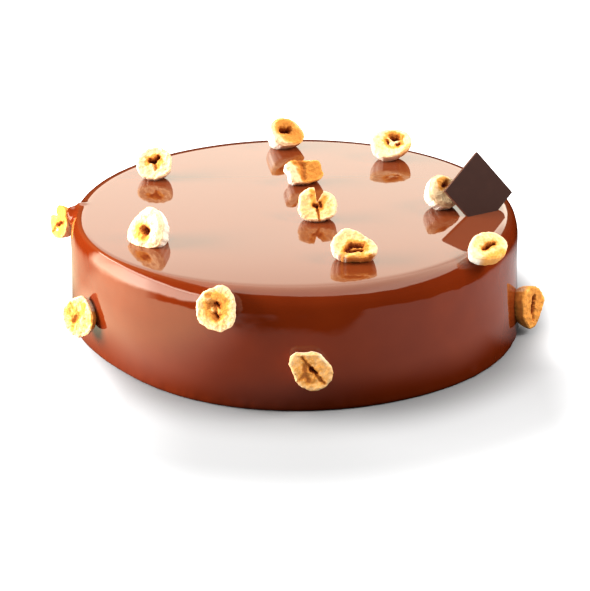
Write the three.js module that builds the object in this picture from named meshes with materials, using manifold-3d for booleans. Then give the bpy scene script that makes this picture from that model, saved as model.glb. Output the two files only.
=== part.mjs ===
// Round mirror-glazed chocolate cake, uncut, decorated with fourteen broken hazelnut halves and one
// small square chocolate plaque.  Millimetres, +Z up.  The origin is the centre of the flat underside,
// and +X is to the right of someone who looks at the front of the cake along +Y.
import * as THREE from 'three';
import { mergeVertices } from 'three/addons/utils/BufferGeometryUtils.js';
import Module from 'manifold-3d';

const wasm = await Module();
wasm.setup();

// ---- driving dimensions ------------------------------------------------------------------------

const CAKE = {
  radius: 90,          // of the wall just under the rim
  height: 46.3,
  rim: 6,              // radius of the rounded top edge
  flare: 1.8,          // how much wider the wall is at its foot
  footEdge: 1.0,       // small bevel where the glaze was trimmed off at the foot
  footCurve: 1.5,      // how fast the flare and the runs fade up the wall
  around: 128,         // facets round the cake
  wallSteps: 4,
  rimSteps: 7,
};

// The glaze ran out unevenly at the foot: each entry pushes the foot in or out about one bearing.
const FOOT_RUNS = [
  { bearing: -142, reach: -3.2, spread: 24 },
  { bearing: -35, reach: 2.0, spread: 26 },
  { bearing: 75, reach: 0.9, spread: 30 },
  { bearing: 150, reach: -0.7, spread: 18 },
];
const FOOT_RUN_HEIGHT = 28;      // the runs fade out this far up the wall
const SEAT_GAP = 0.3;            // clearance between a topping and the glaze it sits on
const PRESS = { reach: 30, rounds: 30 };   // how far and how finely a seat is looked for
const JOIN_DISTANCE = 1e-4;      // corners nearer than this are one corner
const RANDOM = { factor: 1664525, offset: 1013904223, size: 2 ** 32 };

const NUT = {
  around: 24,          // facets round one nut
  domeSteps: 5,
  domeWall: 0.62,      // under 1 gives the broken halves their steep flanks
  domeCrown: 0.9,
  edge: 0.45,          // rounding of the cut edge
  dish: 0.5,           // the cut face is a little hollow
  faceRings: [0.4, 0.8],  // shares of the way from the hollow to the edge
  hollowFloor: 0.55,   // the hollow's floor is narrower than its mouth
  faceUneven: 0.1,     // random unevenness of the cut face
  sink: 0.9,           // how deep a nut is pressed into the glaze
  uneven: 0.3,         // random unevenness of the outside
};

// Each nut: the way it is pressed into the glaze, the place of its cut face's middle before that, the
// way the face looks (turn to the right of the front, lift above level, roll in its own plane), its
// width, length and thickness, the relative reach of its outline at ten equal steps counterclockwise
// from its right, and its hollow (place on the face, length, width, turn, depth).  A split is a
// missing wedge that starts at x, y and opens outward along a bearing, wall sets how steep the flanks
// are, and sink how deep the nut is pressed into the glaze.
const NUTS = [
  {
    name: 'hazelnut_back_left', press: 'down', at: [-58.8, 29.0, 53.6],
    look: { turn: 0, lift: 39, roll: 0 },
    size: { width: 15.1, length: 14.4, thickness: 7.5 },
    outline: [0.99, 1.03, 1.0, 0.95, 0.92, 0.95, 1.02, 1.02, 1.0, 1.03],
    hollow: { x: 0.0, y: 0.9, length: 6.0, width: 4.4, turn: 30, depth: 2.4 },
  },
  {
    name: 'hazelnut_left', press: 'down', at: [-55.9, -44.3, 53.3],
    look: { turn: -30, lift: 32, roll: 0 },
    size: { width: 13.6, length: 15.7, thickness: 9.5 },
    outline: [1.0, 0.95, 0.97, 1.0, 0.93, 0.99, 1.1, 1.05, 1.0, 1.14],
    hollow: { x: -0.4, y: -1.4, length: 5.6, width: 4.6, turn: -30, depth: 2.6 },
    wall: 0.35, sink: 2.8,
  },
  {
    name: 'hazelnut_back', press: 'down', at: [-2.7, 68.9, 54.8],
    look: { turn: 34, lift: 38, roll: 0 },
    size: { width: 15.2, length: 13.5, thickness: 11.0 },
    outline: [0.95, 0.91, 0.91, 1.04, 1.1, 1.0, 1.14, 1.03, 1.04, 1.12],
    hollow: { x: -0.8, y: 0.8, length: 5.6, width: 2.8, turn: -12, depth: 2.6 },
    wall: 0.35, sink: 1.8,
  },
  {
    name: 'hazelnut_chunk', press: 'down', at: [5.1, 21.7, 52.6],
    look: { turn: 24, lift: 34, roll: 0 },
    size: { width: 14.2, length: 10.4, thickness: 8.0 },
    outline: [1.0, 1.02, 0.92, 0.9, 1.16, 1.0, 1.14, 1.04, 1.02, 1.08],
    hollow: { x: -2.6, y: 0.6, length: 6.6, width: 2.4, turn: 74, depth: 1.8 },
    wall: 0.35, sink: 1.2,
  },
  {
    name: 'hazelnut_split', press: 'down', at: [9.2, -19.4, 53.1],
    look: { turn: 0, lift: 40, roll: 0 },
    size: { width: 15.5, length: 13.8, thickness: 7.0 },
    outline: [0.98, 0.97, 0.9, 1.03, 1.02, 0.98, 1.1, 1.03, 0.98, 1.04],
    hollow: { x: 0.1, y: -0.7, length: 4.4, width: 2.0, turn: 70, depth: 2.4 },
    split: { x: -0.4, y: 0.2, bearing: 81, opening: 24 },
  },
  {
    name: 'hazelnut_back_right', press: 'down', at: [42.5, 53.6, 54.3],
    look: { turn: 6, lift: 50, roll: 0 },
    size: { width: 18.4, length: 14.5, thickness: 8.5 },
    outline: [0.95, 1.01, 1.02, 1.0, 1.04, 1.0, 1.05, 1.02, 0.86, 0.84],
    hollow: { x: -0.2, y: 0.8, length: 8.2, width: 6.4, turn: 18, depth: 3.4 },
  },
  {
    name: 'hazelnut_front_right', press: 'down', at: [22.0, -61.3, 53.6],
    look: { turn: 4, lift: 52, roll: 0 },
    size: { width: 17.2, length: 12.6, thickness: 8.0 },
    outline: [0.86, 0.66, 0.76, 1.04, 0.94, 0.98, 1.04, 0.98, 1.03, 1.14],
    hollow: { x: 0.7, y: -0.8, length: 7.2, width: 4.0, turn: 20, depth: 3.0 },
    wall: 0.35, sink: 1.4,
  },
  {
    name: 'hazelnut_by_plaque', press: 'down', at: [60.4, -6.4, 54.1],
    look: { turn: 38, lift: 42, roll: 0 },
    size: { width: 15.4, length: 14.2, thickness: 9.0 },
    outline: [1.0, 0.98, 1.0, 1.02, 0.96, 1.02, 0.98, 1.0, 0.98, 1.0],
    hollow: { x: 0.2, y: 1.6, length: 4.6, width: 3.2, turn: 20, depth: 2.4 },
  },
  {
    name: 'hazelnut_right_rim', press: 'slant', at: [71.3, -58.0, 51.2],
    look: { turn: 14, lift: 58, roll: 14 },
    size: { width: 16.0, length: 12.9, thickness: 7.5 },
    outline: [0.97, 0.98, 0.98, 0.94, 0.9, 0.98, 0.94, 0.88, 0.98, 0.97],
    hollow: { x: 0.4, y: 0.3, length: 6.2, width: 2.8, turn: 12, depth: 2.8 },
    wall: 0.45,
  },
  {
    name: 'hazelnut_front_rim', press: 'slant', at: [-27.6, -91.4, 40.8],
    look: { turn: -12, lift: 22, roll: 0 },
    size: { width: 14.4, length: 16.4, thickness: 5.8 },
    outline: [0.99, 1.03, 1.04, 0.9, 0.96, 1.0, 1.0, 0.93, 1.03, 1.12],
    hollow: { x: 0.0, y: 0.4, length: 6.4, width: 3.6, turn: -70, depth: 2.4 },
  },
  {
    name: 'hazelnut_left_side', press: 'in', at: [-83.3, -47.5, 17.9],
    look: { turn: -34, lift: 12, roll: 0 },
    size: { width: 16.0, length: 16.7, thickness: 5.6 },
    outline: [1.0, 0.93, 0.99, 0.82, 0.8, 0.92, 0.93, 0.96, 1.01, 1.04],
    hollow: { x: 0.6, y: 0.2, length: 5.4, width: 3.2, turn: 60, depth: 1.8 },
  },
  {
    name: 'hazelnut_front_side', press: 'in', at: [6.4, -95.2, 17.6],
    look: { turn: 4, lift: 7, roll: 0 },
    size: { width: 15.0, length: 15.1, thickness: 6.0 },
    outline: [0.98, 0.84, 0.94, 1.02, 1.14, 0.97, 0.93, 0.93, 1.01, 1.0],
    hollow: { x: 0.3, y: 0.7, length: 12.4, width: 2.0, turn: -50, depth: 2.6 },
  },
  {
    name: 'hazelnut_right_side', press: 'in', at: [96.1, -24.0, 11.5],
    look: { turn: 50, lift: 8, roll: 0 },
    size: { width: 16.4, length: 17.8, thickness: 10.4 },
    outline: [0.96, 0.88, 0.86, 1.01, 1.06, 0.98, 0.99, 1.03, 0.86, 0.76],
    hollow: { x: 1.2, y: 1.0, length: 6.8, width: 2.8, turn: 80, depth: 2.8 },
    wall: 1.2,
  },
  {
    name: 'hazelnut_left_rim', press: 'slant', at: [-96.7, 3.1, 36.9],
    look: { turn: -58, lift: 16, roll: 0 },
    size: { width: 15.4, length: 13.4, thickness: 6.6 },
    outline: [1.0, 0.92, 1.04, 1.0, 0.88, 1.02, 0.98, 1.0, 0.96, 1.0],
    hollow: { x: 0.4, y: -0.8, length: 5.6, width: 3.0, turn: 50, depth: 2.2 },
    split: { x: -3.4, y: 1.6, bearing: 158, opening: 46 },
  },
];

// The plaque stands on one corner, which is pushed into the glaze.
const PLAQUE = {
  name: 'chocolate_plaque',
  side: 22.5,
  thickness: 1.2,
  bevel: 0.15,
  at: [73.0, -8.4, 54.1],
  look: { turn: 29.5, lift: 25, roll: 34.4 },
};

const FINISH = {
  glaze: { color: 0x8a4422, roughness: 0.08, metalness: 0 },
  hazelnut: { color: 0xf0cf8a, roughness: 0.7, metalness: 0 },
  plaque: { color: 0x3a211c, roughness: 0.45, metalness: 0 },
};

// ---- helpers -----------------------------------------------------------------------------------

const rad = THREE.MathUtils.degToRad;

// Repeatable random numbers from 0 to 1.
function seededRandom(seed) {
  const { factor, offset, size } = RANDOM;
  let state = seed;
  return () => {
    state = (state * factor + offset) % size;
    return state / size;
  };
}

// Drops everything but the corners, and joins those that coincide, so that the mesh is closed.
function closedGeometry(geometry) {
  const bare = geometry.clone();
  bare.deleteAttribute('normal');
  bare.deleteAttribute('uv');
  return mergeVertices(bare, JOIN_DISTANCE);
}

// A closed shape as a solid that can be cut, and back again.
function toManifold(geometry) {
  const closed = closedGeometry(geometry);
  return new wasm.Manifold(new wasm.Mesh({
    numProp: 3,
    vertProperties: new Float32Array(closed.attributes.position.array),
    triVerts: new Uint32Array(closed.index.array),
  }));
}

function fromManifold(solid) {
  const mesh = solid.getMesh();
  const geometry = new THREE.BufferGeometry();
  geometry.setAttribute('position', new THREE.BufferAttribute(mesh.vertProperties, 3));
  geometry.setIndex(new THREE.BufferAttribute(mesh.triVerts, 1));
  geometry.computeVertexNormals();
  return geometry;
}

// What is left of one closed shape once another is taken away.
function cutAway(geometry, cutter) {
  return fromManifold(toManifold(geometry).subtract(toManifold(cutter)));
}

// The smaller angle between two bearings, in degrees.
function angleBetween(a, b) {
  return Math.abs(((a - b + 540) % 360) - 180);
}

// ---- the glazed cake ---------------------------------------------------------------------------

// How far the foot is pushed out or in at a bearing, in millimetres.
function footRun(bearing) {
  return FOOT_RUNS.reduce(
    (sum, run) => sum + run.reach * Math.exp(-((angleBetween(bearing, run.bearing) / run.spread) ** 2)), 0);
}

// The body turned from its half section.  grow makes it larger all round, as a cutter for toppings.
function cakeGeometry(grow = 0) {
  const radius = CAKE.radius + grow;
  const top = CAKE.height + grow;
  const rim = CAKE.rim + grow;
  const wallTop = top - rim;
  const points = [new THREE.Vector2(0, -grow)];
  points.push(new THREE.Vector2(radius + CAKE.flare - CAKE.footEdge, -grow));
  for (let step = 0; step <= CAKE.wallSteps; step += 1) {
    const rise = step / CAKE.wallSteps;
    const height = CAKE.footEdge + (wallTop - CAKE.footEdge) * rise;
    points.push(new THREE.Vector2(radius + CAKE.flare * (1 - rise) ** CAKE.footCurve, height));
  }
  for (let step = 1; step <= CAKE.rimSteps; step += 1) {
    const angle = (step / CAKE.rimSteps) * Math.PI / 2;
    points.push(new THREE.Vector2(radius - rim + rim * Math.cos(angle), wallTop + rim * Math.sin(angle)));
  }
  points.push(new THREE.Vector2(0, top));
  const geometry = new THREE.LatheGeometry(points, CAKE.around);
  geometry.rotateX(Math.PI / 2);
  const position = geometry.attributes.position;
  const spot = new THREE.Vector3();
  for (let index = 0; index < position.count; index += 1) {
    spot.fromBufferAttribute(position, index);
    const reach = Math.hypot(spot.x, spot.y);
    const fade = THREE.MathUtils.clamp(1 - spot.z / FOOT_RUN_HEIGHT, 0, 1) ** CAKE.footCurve;
    if (reach > JOIN_DISTANCE && fade > 0) {
      const bearing = THREE.MathUtils.radToDeg(Math.atan2(spot.y, spot.x));
      const scale = 1 + footRun(bearing) * fade / reach;
      position.setXY(index, spot.x * scale, spot.y * scale);
    }
  }
  return geometry;
}

// Distance of a point to the cake's surface, negative inside.
function cakeDistance(spot) {
  const outX = Math.hypot(spot.x, spot.y) - (CAKE.radius - CAKE.rim);
  const outZ = spot.z - (CAKE.height - CAKE.rim);
  const outside = Math.hypot(Math.max(outX, 0), Math.max(outZ, 0));
  return outside + Math.min(Math.max(outX, outZ), 0) - CAKE.rim;
}

// ---- the hazelnut halves -----------------------------------------------------------------------

// Smooth closed curve through the relative reaches of the outline.
function outlineReach(nut, angle) {
  const count = nut.outline.length;
  const place = (angle / (2 * Math.PI)) * count;
  const base = Math.floor(place);
  const t = place - base;
  const [p0, p1, p2, p3] = [-1, 0, 1, 2].map((shift) => nut.outline[(base + shift + count) % count]);
  return p1 + 0.5 * t * (p2 - p0 + t * (2 * p0 - 5 * p1 + 4 * p2 - p3 + t * (3 * (p1 - p2) + p3 - p0)));
}

// The wedge that is missing from a split nut: it opens outward along a bearing in the cut face.
function splitGeometry(nut) {
  const { split, size } = nut;
  const reach = size.width;
  const half = reach * Math.tan(rad(split.opening / 2));
  const wedge = new THREE.Shape([
    new THREE.Vector2(0, 0), new THREE.Vector2(reach, -half), new THREE.Vector2(reach, half)]);
  const geometry = new THREE.ExtrudeGeometry(wedge, { depth: 2 * size.thickness, bevelEnabled: false });
  geometry.translate(0, 0, -size.thickness);
  geometry.rotateZ(rad(split.bearing));
  geometry.translate(split.x, split.y, 0);
  return geometry;
}

// A nut in its own frame: x to its right, y up along the cut face, z out of the face.
function nutGeometry(nut, seed) {
  const random = seededRandom(seed);
  const { hollow, size } = nut;
  const hollowTurn = rad(hollow.turn);
  const centre = new THREE.Vector2(hollow.x, hollow.y);
  const rings = [];
  const edgeAt = (angle) => {
    const reach = outlineReach(nut, angle);
    return new THREE.Vector2(
      Math.cos(angle) * reach * size.width / 2, Math.sin(angle) * reach * size.length / 2);
  };
  const hollowAt = (angle, share) => {
    const along = Math.cos(angle - hollowTurn) * share * hollow.length / 2;
    const across = Math.sin(angle - hollowTurn) * share * hollow.width / 2;
    return new THREE.Vector2(
      centre.x + along * Math.cos(hollowTurn) - across * Math.sin(hollowTurn),
      centre.y + along * Math.sin(hollowTurn) + across * Math.cos(hollowTurn));
  };
  const addRing = (placeAt, depth, uneven) => {
    const ring = [];
    for (let step = 0; step < NUT.around; step += 1) {
      const place = placeAt((step / NUT.around) * 2 * Math.PI);
      const shake = (random() - 0.5) * 2 * uneven;
      ring.push(new THREE.Vector3(place.x, place.y, shake - depth));
    }
    rings.push(ring);
  };
  // the hollow, its lip, and the cut face out to the edge
  addRing((angle) => hollowAt(angle, NUT.hollowFloor), hollow.depth, NUT.faceUneven);
  addRing((angle) => hollowAt(angle, 1), NUT.dish, NUT.faceUneven);
  for (const share of NUT.faceRings) {
    const depth = NUT.dish * (1 - share ** 2);
    addRing((angle) => hollowAt(angle, 1).lerp(edgeAt(angle), share), depth, NUT.faceUneven);
  }
  addRing((angle) => edgeAt(angle), NUT.edge, NUT.faceUneven);
  // the outside, from the edge to the crown
  const wall = nut.wall ?? NUT.domeWall;
  for (let step = 1; step < NUT.domeSteps; step += 1) {
    const angleDown = (step / NUT.domeSteps) * Math.PI / 2;
    const shrink = Math.cos(angleDown) ** wall;
    const drop = NUT.edge + (size.thickness - NUT.edge) * Math.sin(angleDown) ** NUT.domeCrown;
    addRing((angle) => edgeAt(angle).multiplyScalar(shrink), drop, NUT.uneven);
  }
  const positions = rings.flat().flatMap((spot) => [spot.x, spot.y, spot.z]);
  const faceMiddle = positions.length / 3;
  positions.push(centre.x, centre.y, -hollow.depth - NUT.faceUneven);
  const crown = faceMiddle + 1;
  positions.push(0, 0, -size.thickness);
  const index = [];
  const last = rings.length - 1;
  for (let step = 0; step < NUT.around; step += 1) {
    const next = (step + 1) % NUT.around;
    index.push(faceMiddle, step, next);
    for (let ring = 0; ring < last; ring += 1) {
      const [a, b] = [ring * NUT.around + step, ring * NUT.around + next];
      const [c, d] = [a + NUT.around, b + NUT.around];
      index.push(a, c, b, b, c, d);
    }
    index.push(last * NUT.around + step, crown, last * NUT.around + next);
  }
  const geometry = new THREE.BufferGeometry();
  geometry.setAttribute('position', new THREE.Float32BufferAttribute(positions, 3));
  geometry.setIndex(index);
  return geometry;
}

// Stands an object so that its own z looks out by turn and lift, and its own x is level before the roll.
function aim(object, at, look) {
  const [turn, lift, roll] = [look.turn, look.lift, look.roll].map(rad);
  const out = new THREE.Vector3(
    Math.sin(turn) * Math.cos(lift), -Math.cos(turn) * Math.cos(lift), Math.sin(lift));
  const right = new THREE.Vector3(Math.cos(turn), Math.sin(turn), 0);
  const up = new THREE.Vector3().crossVectors(out, right);
  object.quaternion.setFromRotationMatrix(new THREE.Matrix4().makeBasis(right, up, out));
  object.rotateZ(roll);
  object.position.fromArray(at);
  object.updateMatrixWorld(true);
}

// A topping is pressed straight down, straight in towards the middle, or half way between the two.
const PRESS_WAYS = {
  down: () => new THREE.Vector3(0, 0, -1),
  in: (spot) => new THREE.Vector3(-spot.x, -spot.y, 0).normalize(),
  slant: (spot) => PRESS_WAYS.in(spot).add(PRESS_WAYS.down()).normalize(),
};

// Moves a nut along its pressing way until its deepest point is as far in the cake as it was pressed.
function pressIn(mesh, nut) {
  const way = PRESS_WAYS[nut.press](mesh.position);
  const position = mesh.geometry.attributes.position;
  const start = mesh.position.clone();
  const spots = [];
  for (let index = 0; index < position.count; index += 1) {
    spots.push(new THREE.Vector3().fromBufferAttribute(position, index).applyMatrix4(mesh.matrixWorld));
  }
  const deepest = (travel) => Math.min(
    ...spots.map((spot) => cakeDistance(spot.clone().addScaledVector(way, travel))));
  let [near, far] = [-PRESS.reach, PRESS.reach];
  for (let round = 0; round < PRESS.rounds; round += 1) {
    const middle = (near + far) / 2;
    if (deepest(middle) > -(nut.sink ?? NUT.sink)) {
      near = middle;
    } else {
      far = middle;
    }
  }
  mesh.position.copy(start.addScaledVector(way, near));
  mesh.updateMatrixWorld(true);
}

// Cuts away what is in the glaze, so that the nut's foot follows the surface it sits on.
function trimFoot(mesh, cutter) {
  const inNutFrame = cutter.clone().applyMatrix4(mesh.matrixWorld.clone().invert());
  mesh.geometry = cutAway(mesh.geometry, inNutFrame);
}

// ---- the plaque --------------------------------------------------------------------------------

function plaqueGeometry(grow = 0) {
  const half = PLAQUE.side / 2 - PLAQUE.bevel + grow;
  const outline = new THREE.Shape([
    new THREE.Vector2(-half, -half), new THREE.Vector2(half, -half),
    new THREE.Vector2(half, half), new THREE.Vector2(-half, half)]);
  const depth = PLAQUE.thickness - 2 * PLAQUE.bevel + 2 * grow;
  const geometry = new THREE.ExtrudeGeometry(outline, {
    depth, bevelThickness: PLAQUE.bevel, bevelSize: PLAQUE.bevel, bevelSegments: 1,
  });
  geometry.translate(0, 0, -depth / 2);
  return geometry;
}

// ---- assembly ----------------------------------------------------------------------------------

function namedMesh(name, geometry, finish) {
  const mesh = new THREE.Mesh(geometry, new THREE.MeshStandardMaterial(finish));
  mesh.name = name;
  return mesh;
}

const cake = new THREE.Group();

const plaque = namedMesh(PLAQUE.name, plaqueGeometry(), FINISH.plaque);
aim(plaque, PLAQUE.at, PLAQUE.look);
const slot = plaqueGeometry(SEAT_GAP).applyMatrix4(plaque.matrixWorld);

cake.add(namedMesh('glazed_cake', cutAway(cakeGeometry(), slot), FINISH.glaze));

const nutCutter = cakeGeometry(SEAT_GAP);
NUTS.forEach((nut, order) => {
  const whole = nutGeometry(nut, order + 1);
  const geometry = nut.split ? cutAway(whole, splitGeometry(nut)) : whole;
  const mesh = namedMesh(nut.name, geometry, FINISH.hazelnut);
  aim(mesh, nut.at, nut.look);
  pressIn(mesh, nut);
  trimFoot(mesh, nutCutter);
  cake.add(mesh);
});
cake.add(plaque);

export default cake;
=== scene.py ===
"""Round chocolate cake under a mirror glaze, set with fourteen broken hazelnut halves and one small
square chocolate plaque. Metres, +Z up; the origin is the centre of the cake's flat underside."""
import math

import bmesh
import bpy
from mathutils import Matrix, Vector


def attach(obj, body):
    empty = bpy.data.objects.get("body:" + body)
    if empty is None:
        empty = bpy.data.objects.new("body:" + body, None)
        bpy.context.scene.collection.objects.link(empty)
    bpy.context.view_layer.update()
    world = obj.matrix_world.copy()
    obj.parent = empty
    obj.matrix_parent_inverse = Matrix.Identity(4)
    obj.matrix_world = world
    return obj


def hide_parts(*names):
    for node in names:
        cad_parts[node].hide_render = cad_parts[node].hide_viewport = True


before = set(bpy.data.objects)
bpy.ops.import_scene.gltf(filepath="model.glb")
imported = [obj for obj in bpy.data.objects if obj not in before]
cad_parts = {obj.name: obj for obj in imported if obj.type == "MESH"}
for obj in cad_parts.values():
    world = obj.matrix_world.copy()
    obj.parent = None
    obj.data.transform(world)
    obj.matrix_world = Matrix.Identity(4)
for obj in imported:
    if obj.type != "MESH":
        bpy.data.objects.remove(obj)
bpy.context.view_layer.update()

bl_info = {
    "name": "Glazed hazelnut cake",
    "version": (1, 0, 0),
    "blender": (4, 5, 0),
    "location": "View3D > Sidebar > Glazed cake",
    "description": "Builds a mirror-glazed chocolate cake with broken hazelnut halves and a plaque",
    "category": "Add Mesh",
}

MM = 0.001
QUARTER_TURN = math.pi / 2
TOUCHING = 1e-6            # points nearer than this are one point


# ---- the cake's own dimensions, in millimetres ---------------------------------------------------

# The glaze ran out unevenly at the foot: bearing in degrees, reach and spread.
FOOT_RUNS = ((-142, -3.2, 24), (-35, 2.0, 26), (75, 0.8, 30), (150, -0.7, 18))

# Where the rounded top edge differs, by bearing and spread in degrees: further down on the left and
# the right, further in at the back, and less far in at the front left.
SOFT_RIM = (-158, 46)
RIGHT_RIM = (-22, 34)
RIGHT_SHARE = 0.55         # of the soft rim's depth, on the right
BACK_RIM = (110, 58)
INSET_RIM = (-140, 32)
RIM_POWER = 2.3            # over 2 eases the rounded edge into the flat top and the wall

# Beads of glaze that gathered at two nuts: place, spread and rise.
GLAZE_BEADS = (
    ((-86.5, 0.0, 46.0), 2.0, 1.2), ((-90.0, -0.8, 42.8), 2.6, 4.2), ((-91.0, -2.0, 39.6), 2.4, 3.8),
    ((66.8, -53.4, 46.3), 1.3, 1.6))

# Rings of points over the glazed body's half section, from the underside to the middle of the top.
BODY_RINGS = {"underside": 3, "foot": 3, "wall": 44, "rim": 20, "top": 60}
BODY_AROUND = 700

# The glazed body's node inputs that its settings of the same names go to.
BODY_SIZES = (
    "Radius", "Height", "Rim Width", "Rim Drop", "Soft Rim", "Soft Inset", "Back Rim", "Flare",
    "Foot Edge", "Uneven")

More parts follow.
